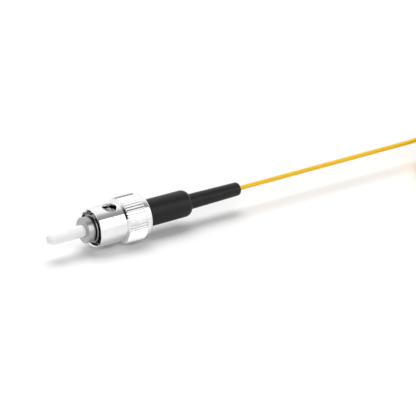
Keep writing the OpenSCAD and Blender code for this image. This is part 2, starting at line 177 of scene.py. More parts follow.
class FibreSizes(PropertyGroup):
    """Sizes of the pigtail and its stored turns."""

    radius: length("Fibre radius", "Radius of the tight buffer", 0.00045)
    total: length("Fibre length", "Length of fibre outside the boot", 0.956)
    coil_radius: length("Coil radius", "Mean radius of the stored turns", 0.0045)
    across: IntProperty(name="Turns across", description="Turns in a wide layer", default=5, min=2)
    layers: IntProperty(name="Layers", description="Layers of stored turns", default=7, min=1)
    turn_points: IntProperty(name="Points per turn", description="Points per turn", default=30, min=12)


class Finishes(PropertyGroup):
    """Colours of the finishes."""

    ceramic: colour("Ceramic", "Polished zirconia", (0.96, 0.96, 0.955))
    nut: colour("Nut", "Bright nickel on the nut", (0.86, 0.86, 0.86))
    holder: colour("Holder", "Satin nickel on the holder", (0.42, 0.42, 0.43))
    body: colour("Body", "Dark nickel on the body", (0.3, 0.3, 0.31))
    steel: colour("Steel", "Spring wire and washers", (0.5, 0.5, 0.51))
    rubber: colour("Rubber", "Black boot", (0.009, 0.009, 0.0095))
    fibre: colour("Fibre", "Yellow tight buffer", (0.96, 0.56, 0.003))
    film: colour("Film", "Ties round the stored turns", (0.75, 0.75, 0.74))
    floor: colour("Floor", "Floor under the plug", (0.9, 0.9, 0.9))


class StageSettings(PropertyGroup):
    """Camera and light."""

    azimuth: angle("Azimuth", "Camera's angle round the plug", -31.6)
    elevation: angle("Elevation", "Camera's angle above the floor", 26.2)
    aim: FloatVectorProperty(
        name="Aim", description="Point that the camera looks at", default=(0.01203, -0.00457, 0.00491),
        size=3, subtype="TRANSLATION", precision=6,
    )
    view_width: length("View width", "Width that the camera shows at its aim", 0.0819)
    lens: FloatProperty(name="Lens", description="Focal length in mm", default=1200, min=50)
    sky: FloatProperty(name="Sky", description="Strength of the even light", default=0.27, min=0)
    key: FloatProperty(name="Key", description="Strength of the overhead lamp", default=2.15, min=0)
    fill: FloatProperty(name="Fill", description="Strength of the front lamp", default=0.8, min=0)
    lift: FloatProperty(name="Lift", description="Glow of the floor to the eye", default=0.06, min=0)


SETTINGS = {
    "plug_sizes": PlugSizes,
    "nut_sizes": NutSizes,
    "fibre_sizes": FibreSizes,
    "finishes": Finishes,
    "stage_settings": StageSettings,
}


def settings(name):
    """One of the groups in SETTINGS, as kept on the scene."""
    return getattr(bpy.context.scene, name)


def low_x(node):
    """Where a CAD node starts along the plug's axis."""
    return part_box(node)[0].x


def high_x(node):
    """Where a CAD node ends along the plug's axis."""
    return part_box(node)[1].x


# ---------------------------------------------------------------- materials


def new_material(name):
    """A node material and its shader."""
    made = bpy.data.materials.new(name)
    made.use_nodes = True
    return made, made.node_tree.nodes["Principled BSDF"]


def link(made, output, target):
    made.node_tree.links.new(output, target)


def noise(made, scale, detail=2.0, stretch=(1, 1, 1)):
    """Noise on object coordinates, stretched along the axes."""
    nodes = made.node_tree.nodes
    place, mapping, texture = (
        nodes.new("ShaderNodeTexCoord"), nodes.new("ShaderNodeMapping"), nodes.new("ShaderNodeTexNoise")
    )
    mapping.inputs["Scale"].default_value = stretch
    texture.inputs["Scale"].default_value = scale
    texture.inputs["Detail"].default_value = detail
    link(made, place.outputs["Object"], mapping.inputs["Vector"])
    link(made, mapping.outputs["Vector"], texture.inputs["Vector"])
    return texture.outputs["Fac"]


def spread(made, factor, low, high):
    """The factor's usual range, 0.3 to 0.7, turned into low to high."""
    node = made.node_tree.nodes.new("ShaderNodeMapRange")
    for socket, value in (("From Min", 0.3), ("From Max", 0.7), ("To Min", low), ("To Max", high)):
        node.inputs[socket].default_value = value
    link(made, factor, node.inputs["Value"])
    return node.outputs["Result"]


def tint(made, shader, factor, dark, light):
    """Base colour between two colours by a factor."""
    node = made.node_tree.nodes.new("ShaderNodeMix")
    node.data_type = "RGBA"
    node.inputs[6].default_value = (*dark, 1)
    node.inputs[7].default_value = (*light, 1)
    link(made, factor, node.inputs["Factor"])
    link(made, node.outputs[2], shader.inputs["Base Color"])


def bump(made, shader, height, distance, strength=1.0, under=None):
    """Bump of a height, on top of another bump if one is given. Returns its normal."""
    node = made.node_tree.nodes.new("ShaderNodeBump")
    node.inputs["Distance"].default_value = distance
    node.inputs["Strength"].default_value = strength
    link(made, height, node.inputs["Height"])
    if under is not None:
        link(made, under, node.inputs["Normal"])
    link(made, node.outputs["Normal"], shader.inputs["Normal"])
    return node.outputs["Normal"]


def shade(value, share):
    """A colour with each part times share."""
    return tuple(part * share for part in value)


def turned_metal(name, base, roughness, line_depth, smudge=0.04):
    """Plated metal with fine lathe lines round the X axis and faint smudges."""
    made, shader = new_material(name)
    shader.inputs["Metallic"].default_value = 1
    lines = noise(made, 9000, 3, (1, 0.02, 0.02))
    cloud = noise(made, 420, 3)
    tint(made, shader, spread(made, cloud, 0, 1), shade(base, 0.93), base)
    link(made, spread(made, cloud, roughness - smudge, roughness + smudge), shader.inputs["Roughness"])
    fine = bump(made, shader, noise(made, 30000, 2), line_depth * 0.2)
    bump(made, shader, lines, line_depth, 1.0, fine)
    return made


def ceramic(name, base):
    """Polished zirconia: white, a little translucent, with a soft gloss."""
    made, shader = new_material(name)
    cloud = noise(made, 900, 3)
    tint(made, shader, spread(made, cloud, 0, 1), shade(base, 0.985), base)
    link(made, spread(made, cloud, 0.16, 0.24), shader.inputs["Roughness"])
    shader.inputs["Subsurface Weight"].default_value = 0.25
    shader.inputs["Subsurface Radius"].default_value = (0.0006, 0.0006, 0.0006)
    shader.inputs["Subsurface Scale"].default_value = 1
    shader.inputs["IOR"].default_value = 1.6
    bump(made, shader, noise(made, 26000, 2), 0.000001)
    return made


def rubber(name, base):
    """Moulded black rubber with a fine satin grain."""
    made, shader = new_material(name)
    cloud = noise(made, 700, 4)
    tint(made, shader, spread(made, cloud, 0, 1), shade(base, 0.75), shade(base, 1.35))
    link(made, spread(made, cloud, 0.34, 0.44), shader.inputs["Roughness"])
    shader.inputs["Specular IOR Level"].default_value = 0.22
    grain = bump(made, shader, noise(made, 14000, 3), 0.000006)
    bump(made, shader, noise(made, 2600, 2), 0.00001, 0.6, grain)
    return made


def plastic(name, base, roughness=0.35, soft=0.0):
    """Smooth plastic with a faint unevenness."""
    made, shader = new_material(name)
    cloud = noise(made, 800, 3)
    tint(made, shader, spread(made, cloud, 0, 1), shade(base, 0.94), base)
    link(made, spread(made, cloud, roughness - 0.05, roughness + 0.05), shader.inputs["Roughness"])
    shader.inputs["Subsurface Weight"].default_value = soft
    shader.inputs["Subsurface Radius"].default_value = (0.0004, 0.0002, 0.0001)
    shader.inputs["Subsurface Scale"].default_value = 1
    bump(made, shader, noise(made, 9000, 2), 0.000003)
    return made


def clear_glass(name):
    """The bare glass fibre."""
    made, shader = new_material(name)
    shader.inputs["Transmission Weight"].default_value = 0.9
    shader.inputs["IOR"].default_value = 1.46
    cloud = noise(made, 3000, 2)
    tint(made, shader, spread(made, cloud, 0, 1), (0.86, 0.93, 0.95), (0.93, 0.97, 0.98))
    link(made, spread(made, cloud, 0.04, 0.1), shader.inputs["Roughness"])
    return made


def paint(thing, made):
    """Gives an object, or a CAD node's object, one material."""
    thing.data.materials.clear()
    thing.data.materials.append(made)


def carry(node, made):
    """A CAD node that shows as it is, in a better material."""
    thing = NODES[node]
    if thing.material_slots:
        for place in thing.material_slots:
            place.material = made
    else:
        thing.data.materials.append(made)


# ---------------------------------------------------------------- shapes


def keep(shell, name, made, body, slot, *replaced):
    """Turns a bmesh into a finished piece that rides on a body and replaces CAD nodes."""
    bmesh.ops.remove_doubles(shell, verts=shell.verts, dist=1e-6)
    bmesh.ops.recalc_face_normals(shell, faces=shell.faces)
    mesh = bpy.data.meshes.new(name)
    shell.to_mesh(mesh)
    shell.free()
    piece = bpy.data.objects.new(name, mesh)
    bpy.context.scene.collection.objects.link(piece)
    paint(piece, made)
    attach(piece, body)
    if replaced:
        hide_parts(*replaced)
    return piece


def smooth(piece, limit=math.radians(32)):
    """Smooth shading that breaks at edges sharper than limit."""
    shell = bmesh.new()
    shell.from_mesh(piece.data)
    for face in shell.faces:
        face.smooth = True
    for edge in shell.edges:
        edge.smooth = edge.is_manifold and edge.calc_face_angle(0) < limit
    shell.to_mesh(piece.data)
    shell.free()


def turned(outline, segments):
    """Turns a closed outline of (x, radius, rounding) corners about the plug's axis."""
    shell = bmesh.new()
    height = AXIS_HEIGHT
    corners = [shell.verts.new((x, 0, height + radius)) for x, radius, _ in outline]
    edges = [shell.edges.new((a, b)) for a, b in zip(corners, corners[1:] + corners[:1])]
    centre = Vector((0, 0, height))
    bmesh.ops.spin(
        shell, geom=corners + edges, cent=centre, axis=(1, 0, 0), angle=math.tau,
        steps=segments, use_merge=True,
    )
    bmesh.ops.remove_doubles(shell, verts=shell.verts, dist=1e-6)
    bmesh.ops.recalc_face_normals(shell, faces=shell.faces)
    for x, radius, rounding in outline:
        if rounding:
            ring = [edge for edge in shell.edges if all(at(v, x, radius) for v in edge.verts)]
            bmesh.ops.bevel(
                shell, geom=ring, offset=rounding, offset_type="OFFSET", affect="EDGES",
                segments=5, profile=0.5, material=-1,
            )
    return shell


def out(vert):
    """How far a vertex is from the plug's axis."""
    return math.hypot(vert.co.y, vert.co.z - AXIS_HEIGHT)


def at(vert, x, radius):
    """Whether a vertex is on the ring at x with that radius."""
    return abs(vert.co.x - x) < 1e-7 and abs(out(vert) - radius) < 1e-6


def cut(piece, cutters):
    """Cuts the cutters' solids out of a piece, all in one pass."""
    group = bpy.data.collections.new("cutters")
    for cutter in cutters:
        group.objects.link(cutter)
    tool = piece.modifiers.new("cut", "BOOLEAN")
    tool.operation, tool.solver = "DIFFERENCE", "EXACT"
    tool.operand_type, tool.collection = "COLLECTION", group
    shown = piece.evaluated_get(bpy.context.evaluated_depsgraph_get())
    mesh = bpy.data.meshes.new_from_object(shown)
    piece.modifiers.clear()
    old, piece.data = piece.data, mesh
    bpy.data.meshes.remove(old)
    for cutter in cutters:
        bpy.data.objects.remove(cutter)
    bpy.data.collections.remove(group)


def cutter_from(shell):
    """A hidden object from a bmesh, for one cut."""
    bmesh.ops.recalc_face_normals(shell, faces=shell.faces)
    mesh = bpy.data.meshes.new("cutter")
    shell.to_mesh(mesh)
    shell.free()
    thing = bpy.data.objects.new("cutter", mesh)
    bpy.context.scene.collection.objects.link(thing)
    return thing


def about_axis(turn):
    """Rotation about the plug's axis; a positive turn goes from the top towards -Y."""
    height = AXIS_HEIGHT
    move = Matrix.Translation((0, 0, height))
    return move @ Matrix.Rotation(turn, 4, "X") @ move.inverted()


def sweep(shell, corners, step, count):
    """A solid swept from a flat outline by repeating one move. Returns its vertices."""
    face = shell.faces.new([shell.verts.new(corner) for corner in corners])
    swept, moving = list(face.verts), [face]
    for i in range(count):
        made = bmesh.ops.extrude_face_region(shell, geom=moving)["geom"]
        if i:
            bmesh.ops.delete(shell, geom=moving, context="FACES_ONLY")
        moving = [part for part in made if isinstance(part, bmesh.types.BMFace)]
        verts = [part for part in made if isinstance(part, bmesh.types.BMVert)]
        bmesh.ops.transform(shell, matrix=step, verts=verts)
        swept += verts
    return swept


def quarter(x, radius, along, across, count=8):
    """Corners of a quarter ellipse that closes inwards as it goes back."""
    turns = [math.pi / 2 * i / count for i in range(count + 1)]
    return [(x + along * math.sin(t), radius + across * math.cos(t), 0) for t in turns]


# ---------------------------------------------------------------- pieces


def make_ferrule():
    """Ceramic ferrule with a domed and bevelled tip."""
    sizes = settings("plug_sizes")
    tip, end, radius = low_x("ferrule"), high_x("ferrule"), sizes.ferrule_radius
    groove = low_x("ferrule_holder") + sizes.groove_in
    shell = turned([
        (tip, sizes.glass_radius, 0),
        (tip + sizes.tip_dome, sizes.tip_face, 0.00008),
        (tip + sizes.tip_bevel, radius, sizes.tip_round),
        (groove, radius, 0),
        (groove, radius - sizes.groove_depth, 0),
        (groove + sizes.groove_width, radius - sizes.groove_depth, 0),
        (groove + sizes.groove_width, radius, 0),
        (end, radius, 0),
        (end, sizes.funnel_radius, 0),
        (end - sizes.funnel_length, sizes.glass_radius, 0),
    ], 128)
    made = ceramic("zirconia", settings("finishes").ceramic)
    smooth(keep(shell, "ferrule_ceramic", made, "plug", "zirconia", "ferrule"))


def make_holder():
    """Turned holder of the ferrule: a flat head and a neck."""
    sizes = settings("plug_sizes")
    front, end, ferrule_end = low_x("ferrule_holder"), high_x("ferrule_holder"), high_x("ferrule")
    back = front + sizes.head_length
    shell = turned([
        (front, sizes.ferrule_radius + sizes.head_sink, 0),
        (front, sizes.head_radius, sizes.head_bevel),
        (back, sizes.head_radius, 0.00006),
        (back, sizes.neck_radius, 0),
        (end, sizes.neck_radius, 0),
        (end, sizes.passage, 0),
        (ferrule_end, sizes.passage, 0),
        (ferrule_end, sizes.ferrule_radius, 0),
        (front + sizes.head_sink, sizes.ferrule_radius, 0),
    ], 160)
    made = turned_metal("holder_nickel", settings("finishes").holder, 0.3, 0.0000004)
    smooth(keep(shell, "ferrule_holder_turned", made, "plug", "holder_nickel", "ferrule_holder"))


def make_body():
    """Plug's body: front tube with its key, flange, stem with the ring's groove, barbed tail."""
    sizes = settings("plug_sizes")
    front, end, bore = low_x("plug_body"), high_x("plug_body"), sizes.body_bore
    flange = front + sizes.front_length
    stem, tail = flange + sizes.flange_length, low_x("boot")
    groove, groove_end = low_x("retaining_ring"), high_x("retaining_ring")
    holder_end, pitch = high_x("ferrule_holder"), (end - tail) / sizes.barbs
    outline = [
        (front, sizes.neck_radius, 0),
        (front, sizes.front_radius, 0.0002),
        (flange, sizes.front_radius, 0),
        (flange, sizes.flange_radius, 0.00008),
        (stem, sizes.flange_radius, 0.00008),
        (stem, sizes.stem_radius, 0),
        (groove, sizes.stem_radius, 0),
        (groove, sizes.stem_radius - sizes.ring_groove, 0),
        (groove_end, sizes.stem_radius - sizes.ring_groove, 0),
        (groove_end, sizes.stem_radius, 0),
        (tail, sizes.stem_radius, 0),
    ]
    for i in range(sizes.barbs):
        start = tail + i * pitch
        outline += [
            (start, sizes.tail_radius, 0),
            (start + pitch * 0.3, sizes.tail_radius, 0),
            (start + pitch * 0.3, sizes.tail_radius + sizes.barb_height, 0),
            (start + pitch * 0.9, sizes.tail_radius, 0),
        ]
    outline += [
        (end, sizes.tail_radius, 0),
        (end, bore, 0),
        (holder_end, bore, 0),
        (holder_end, sizes.neck_radius, 0),
    ]
    shell = turned(outline, 160)
    half, height = sizes.key_width / 2, AXIS_HEIGHT
    low, high = height + sizes.front_radius - sizes.key_height, height + sizes.front_radius + sizes.key_height
    corners = [(front, -half, low), (front, half, low), (front, half, high), (front, -half, high)]
    key = sweep(shell, corners, Matrix.Translation((sizes.key_length, 0, 0)), 1)
    bmesh.ops.transform(shell, matrix=about_axis(sizes.key_angle), verts=key)
    edges = list({edge for vert in key for edge in vert.link_edges})
    bmesh.ops.bevel(
        shell, geom=edges, offset=0.00008, offset_type="OFFSET", affect="EDGES",
        segments=2, profile=0.5, material=-1,
    )
    made = turned_metal("body_nickel", settings("finishes").body, 0.2, 0.0000004)
    smooth(keep(shell, "plug_body_turned", made, "plug", "body_nickel", "plug_body"))


def tooth_radius(turn, crest):
    """Radius of the knurl's outline at an angle from the top."""
    sizes = settings("nut_sizes")
    phase = abs((turn / math.tau * sizes.ridges + 0.5) % 1 - 0.5)
    return crest - sizes.ridge_height * min(max((phase - 0.05) / 0.33, 0), 1)


def knurl(shell, start, crest):
    """Presses the ridges into the turned nut, from start to its back."""
    sizes, height = settings("nut_sizes"), AXIS_HEIGHT
    for vert in shell.verts:
        radius = out(vert)
        if vert.co.x > start + 1e-6 and radius > sizes.barrel_radius + 1e-6:
            turn = math.atan2(-vert.co.y, vert.co.z - height)
            share = min(radius, tooth_radius(turn, crest)) / radius
            vert.co.y *= share
            vert.co.z = height + (vert.co.z - height) * share


def window_cutter(turn):
    """Round cutter for a locking window, with a flare that bevels its outer edge."""
    sizes, height = settings("nut_sizes"), AXIS_HEIGHT
    shell, rings = bmesh.new(), []
    radius, edge = sizes.window_radius, sizes.window_edge
    inside, outside = sizes.bore_radius - REACH, sizes.barrel_radius + REACH
    for ring_radius, flat, rise in (
        (radius, inside, 0), (radius, None, -edge), (radius + 2 * edge, None, edge),
        (radius + 2 * edge, outside, 0),
    ):
        ring = bmesh.ops.create_circle(shell, cap_ends=False, segments=72, radius=ring_radius)["verts"]
        for vert in ring:
            surface = math.sqrt(sizes.barrel_radius ** 2 - vert.co.y ** 2)
            vert.co.z = surface + rise if flat is None else flat
        rings.append(list({line for vert in ring for line in vert.link_edges}))
    for lower, upper in zip(rings, rings[1:]):
        bmesh.ops.bridge_loops(shell, edges=lower + upper)
    bmesh.ops.holes_fill(shell, edges=rings[0] + rings[-1], sides=0)
    place = Matrix.Translation((low_x("coupling_nut") + sizes.window_place, 0, height))
    bmesh.ops.transform(shell, matrix=about_axis(turn) @ place, verts=shell.verts)
    return cutter_from(shell)


def slot_cutter(turn):
    """Cutter for a lug slot's straight way in, with its floor as an arc."""
    sizes, height, front = settings("nut_sizes"), AXIS_HEIGHT, low_x("coupling_nut")
    shell, half = bmesh.new(), sizes.slot_width / 2
    reach = math.asin(half / sizes.slot_floor)
    arc = [reach * (i / 4 - 1) for i in range(9)]
    start, inner = front - REACH, height + sizes.bore_radius - REACH
    corners = [(start, half, inner), (start, -half, inner)]
    corners += [
        (start, sizes.slot_floor * math.sin(t), height + sizes.slot_floor * math.cos(t)) for t in arc
    ]
    run = REACH + sizes.slot_turn + half
    verts = sweep(shell, corners, Matrix.Translation((run, 0, 0)), 1)
    bmesh.ops.transform(shell, matrix=about_axis(turn), verts=verts)
    return cutter_from(shell)


def ramp_cutter(turn):
    """Cutter for the ramp from a lug slot to its window."""
    sizes, height, front = settings("nut_sizes"), AXIS_HEIGHT, low_x("coupling_nut")
    shell, half, count = bmesh.new(), sizes.slot_width / 2 - 0.00005, 24
    middle = front + sizes.slot_turn
    inner, floor = height + sizes.bore_radius - 0.0005, height + sizes.slot_floor + 0.00001
    corners = [
        (middle - half, 0, inner), (middle + half, 0, inner), (middle + half, 0, floor),
        (middle - half, 0, floor),
    ]
    rise = (sizes.window_place - sizes.slot_turn) / count
    step = Matrix.Translation((rise, 0, 0)) @ about_axis(sizes.ramp_turn / count)
    verts = sweep(shell, corners, step, count)
    bmesh.ops.transform(shell, matrix=about_axis(turn), verts=verts)
    return cutter_from(shell)


def make_nut():
    """Coupling nut: smooth barrel with the bayonet cut into it, knurl, plain back rim."""
    sizes = settings("nut_sizes")
    front, back, crest = low_x("coupling_nut"), high_x("coupling_nut"), AXIS_HEIGHT
    barrel_end, mouth = front + sizes.barrel_length, 0.00015
    cone_end = barrel_end + sizes.cone_length
    knurl_end = cone_end + sizes.knurl_length
    rim = knurl_end + sizes.knurl_back
    rise = crest - sizes.barrel_radius
    outline = [
        (front, sizes.bore_radius + mouth, 0),
        (front, sizes.barrel_radius, sizes.rim_round),
        (barrel_end, sizes.barrel_radius, 0),
    ]
    outline += [
        (barrel_end + sizes.cone_length * i / 8, sizes.barrel_radius + rise * i / 8, 0) for i in range(1, 9)
    ]
    outline += [
        (knurl_end, crest, 0),
        ((knurl_end + rim) / 2, (crest + sizes.back_radius) / 2, 0),
        (rim, sizes.back_radius, 0),
        (back, sizes.back_radius, sizes.back_round),
        (back, sizes.recess_radius, 0.00012),
        (front + sizes.web_back, sizes.recess_radius, 0),
        (front + sizes.web_back, sizes.web_radius, 0),
        (front + sizes.web_front, sizes.web_radius, 0),
        (front + sizes.web_front, sizes.chamber_radius, 0),
        (front + sizes.bore_length, sizes.chamber_radius, 0),
        (front + sizes.bore_length, sizes.bore_radius, 0),
        (front + mouth, sizes.bore_radius, 0),
    ]
    shell = turned(outline, sizes.ridges * 8)
    knurl(shell, barrel_end, crest)
    made = turned_metal("nut_nickel", settings("finishes").nut, 0.075, 0.00000025, 0.02)
    piece = keep(shell, "coupling_nut_turned", made, "nut", "nut_nickel", "coupling_nut")
    cutters = []
    for half_turn in (0, math.pi):
        window = sizes.window_angle + half_turn
        entry = window - sizes.ramp_turn
        cutters += [slot_cutter(entry), ramp_cutter(entry), window_cutter(window)]
    cut(piece, cutters)
    smooth(piece, math.radians(26))


def make_spring():
    """Compression spring with closed ends, fitted between the ends of the imported spring."""
    sizes = settings("plug_sizes")
    start, end, height = low_x("spring"), high_x("spring"), AXIS_HEIGHT
    wire, turns, per_turn = sizes.wire_radius * 2, sizes.spring_turns, 32
    rise = (end - start - 3 * wire) / (turns - 2)
    data = bpy.data.curves.new("spring_line", "CURVE")
    data.dimensions, data.bevel_depth, data.bevel_resolution = "3D", sizes.wire_radius, 3
    data.use_fill_caps = True
    line = data.splines.new("POLY")
    line.points.add(turns * per_turn)
    for i, point in enumerate(line.points):
        turn = i / per_turn
        closed = min(turn, 1) + max(turn - turns + 1, 0)
        x = start + wire * (0.5 + closed) + rise * max(0, min(turn - 1, turns - 2))
        y, z = math.sin(math.tau * turn), math.cos(math.tau * turn)
        point.co = (x, -sizes.spring_radius * y, height + sizes.spring_radius * z, 1)
    curve = bpy.data.objects.new("spring_line", data)
    bpy.context.scene.collection.objects.link(curve)
    mesh = bpy.data.meshes.new_from_object(curve.evaluated_get(bpy.context.evaluated_depsgraph_get()))
    bpy.data.objects.remove(curve)
    shell = bmesh.new()
    shell.from_mesh(mesh)
    made = drawn_steel("spring_steel", settings("finishes").steel)
    piece = keep(shell, "spring_wire", made, "plug", "spring_steel", "spring")
    smooth(piece, math.radians(60))
    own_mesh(piece)


def drawn_steel(name, base):
    """Bright drawn or stamped steel with fine scratches."""
    made, shader = new_material(name)
    shader.inputs["Metallic"].default_value = 1
    cloud = noise(made, 1500, 3)
    tint(made, shader, spread(made, cloud, 0, 1), shade(base, 0.85), base)
    link(made, spread(made, cloud, 0.22, 0.36), shader.inputs["Roughness"])
    bump(made, shader, noise(made, 12000, 2), 0.000001)
    return made


def make_boot():
    """Rubber boot: thick part over the barbed tail, rounded shoulder, collar and slim tail."""
    sizes = settings("plug_sizes")
    front, end = low_x("boot"), high_x("boot")
    body_end = high_x("plug_body") + sizes.boot_gap
    guide_end = high_x("guide_tube") + sizes.boot_gap
    shoulder = front + sizes.boot_shoulder
    foot = shoulder + sizes.shoulder_length
    cavity = sizes.tail_radius + sizes.barb_height
    outline = [(front, cavity, 0), (front, sizes.boot_front, 0.00012)]
    outline += quarter(
        shoulder, sizes.collar_radius, sizes.shoulder_length, sizes.boot_back - sizes.collar_radius, 12
    )
    outline += [
        (foot + sizes.collar_length, sizes.collar_radius, 0.0001),
        (foot + sizes.collar_length, sizes.tail_front, 0),
        (end, sizes.tail_end, sizes.tail_round),
        (end, sizes.fibre_hole, 0),
        (guide_end, sizes.fibre_hole, 0),
        (guide_end, sizes.body_bore, 0),
        (body_end, sizes.body_bore, 0),
        (body_end, cavity, 0),
    ]
    made = rubber("boot_rubber", settings("finishes").rubber)
    smooth(keep(turned(outline, 160), "boot_moulded", made, "plug", "boot_rubber", "boot"))


def finish_inner_parts():
    """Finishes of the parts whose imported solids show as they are."""
    finishes = settings("finishes")
    washer = drawn_steel("washer_steel", finishes.steel)
    for node in ("thrust_washer", "slip_washer", "retaining_ring"):
        carry(node, washer)
    carry("guide_tube", plastic("guide_plastic", (0.85, 0.85, 0.82), 0.35, 0.1))
    carry("fibre_coating", plastic("coating", (0.82, 0.78, 0.66), 0.3, 0.1))
    carry("fibre_buffer", plastic("buffer", finishes.fibre, 0.34))
    carry("glass_fibre", clear_glass("glass"))


def finish_ties():
    """Finish of the two ties round the stored turns."""
    film = plastic("tie_film", settings("finishes").film, 0.3, 0.1)
    for node in ("coil_tie_front", "coil_tie_back"):
        carry(node, film)


def layer_radii(layer, sizes):
    """Radii of one layer's turns, in the order in which the fibre runs through them."""
    pitch, wide = 2 * sizes.radius, layer % 2 == 0
    count = sizes.across if wide else sizes.across - 1
    outer = sizes.coil_radius + (count - 1) / 2 * pitch
    radii = [outer - i * pitch for i in range(count)]
    return radii if wide else radii[::-1]


def coil_points(sizes):
    """The stored turns, from the top layer's outer turn down, each stepping to the next at its end."""
    low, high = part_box("fibre_coil")
    middle, top = (low + high) / 2, high.z - sizes.radius
    rise = 2 * sizes.radius * math.sin(math.radians(60))
    turns = [
        (radius, top - layer * rise) for layer in range(sizes.layers) for radius in layer_radii(layer, sizes)
    ]
    points = []
    for i, (radius, height) in enumerate(turns):
        next_radius, next_height = turns[min(i + 1, len(turns) - 1)]
        for j in range(sizes.turn_points):
            share = j / sizes.turn_points
            blend = max(0, (share - 0.8) / 0.2)
            blend = blend * blend * (3 - 2 * blend)
            r = radius + (next_radius - radius) * blend
            t = math.pi / 2 - math.tau * share
            z = height + (next_height - height) * blend
            points.append((middle.x + r * math.cos(t), middle.y + r * math.sin(t), z))
    return points


# Route of the straight fibre in metres: inside the boot's end, along X, then up onto the coil
LEAD_ROUTE = [
    (0.022, 0, 0.00475), (0.024, 0, 0.00475), (0.0265, 0, 0.00475), (0.029, 0, 0.00475),
    (0.0315, 0, 0.00475), (0.034, 0, 0.00475), (0.0365, 0, 0.00475), (0.039, 0, 0.00475),
    (0.0415, 0, 0.00475), (0.044, 0, 0.00475), (0.0465, 0, 0.00475), (0.049, 0, 0.00475),
    (0.0515, 0, 0.00475), (0.054, 0, 0.00475), (0.0565, 0, 0.00475), (0.059, 0, 0.00475),
    (0.061, 0, 0.00475), (0.0625, 0, 0.0048), (0.064, 0, 0.00495), (0.0655, 0, 0.0052),
]


def make_pigtail():
    """The yellow fibre: straight out of the boot, then into its stored turns."""
    sizes = settings("fibre_sizes")
    data = bpy.data.curves.new("pigtail", "CURVE")
    data.dimensions, data.bevel_depth, data.bevel_resolution = "3D", sizes.radius, 4
    data.use_fill_caps = True
    points = LEAD_ROUTE + coil_points(sizes)
    line = data.splines.new("POLY")
    line.points.add(len(points) - 1)
    line.use_smooth = True
    for point, place in zip(line.points, points):
        point.co = (*place, 1)
    piece = bpy.data.objects.new("pigtail", data)
    bpy.context.scene.collection.objects.link(piece)
    paint(piece, plastic("yellow_buffer", settings("finishes").fibre, 0.34))
    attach(piece, "plug")
    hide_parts("fibre_lead", "fibre_coil")


# ---------------------------------------------------------------- stage


def make_floor():
    """Pale floor, which keeps its light tone in the eye and in reflections."""
    finishes, sizes = settings("finishes"), settings("stage_settings")
    made, shader = new_material("floor")
    shader.inputs["Base Color"].default_value = (*finishes.floor, 1)
    shader.inputs["Roughness"].default_value = 0.9
    shader.inputs["Specular IOR Level"].default_value = 0
    shader.inputs["Emission Color"].default_value = (1, 1, 1, 1)
    seen = seen_rays(made)
    lift = made.node_tree.nodes.new("ShaderNodeMath")
    lift.operation = "MULTIPLY"
    lift.inputs[1].default_value = sizes.lift
    link(made, seen, lift.inputs[0])
    link(made, lift.outputs[0], shader.inputs["Emission Strength"])
    shell = bmesh.new()
    bmesh.ops.create_grid(shell, x_segments=1, y_segments=1, size=3)
    mesh = bpy.data.meshes.new("floor")
    shell.to_mesh(mesh)
    shell.free()
    floor = bpy.data.objects.new("floor", mesh)
    bpy.context.scene.collection.objects.link(floor)
    paint(floor, made)


def seen_rays(made):
    """1 for rays from the eye, from a reflection or through glass."""
    nodes = made.node_tree.nodes
    path, total = nodes.new("ShaderNodeLightPath"), None
    for name in ("Is Camera Ray", "Is Glossy Ray", "Is Transmission Ray"):
        if total is None:
            total = path.outputs[name]
            continue
        largest = nodes.new("ShaderNodeMath")
        largest.operation = "MAXIMUM"
        link(made, total, largest.inputs[0])
        link(made, path.outputs[name], largest.inputs[1])
        total = largest.outputs[0]
    return total


# Brightness that polished metal sees round the plug, by degrees from straight up towards -Y
SURROUNDINGS = [
    (-180, 1.0), (-90, 1.0), (-60, 1.15), (-16, 1.1), (8, 0.4), (30, 0.32), (31.5, 2.0), (72, 1.9),
    (84, 1.1), (180, 1.0),
]


def math_node(made, operation, first, second):
    """A Math node on two values, each a socket or a number."""
    node = made.node_tree.nodes.new("ShaderNodeMath")
    node.operation = operation
    for place, value in enumerate((first, second)):
        if isinstance(value, (int, float)):
            node.inputs[place].default_value = value
        else:
            link(made, value, node.inputs[place])
    return node.outputs[0]


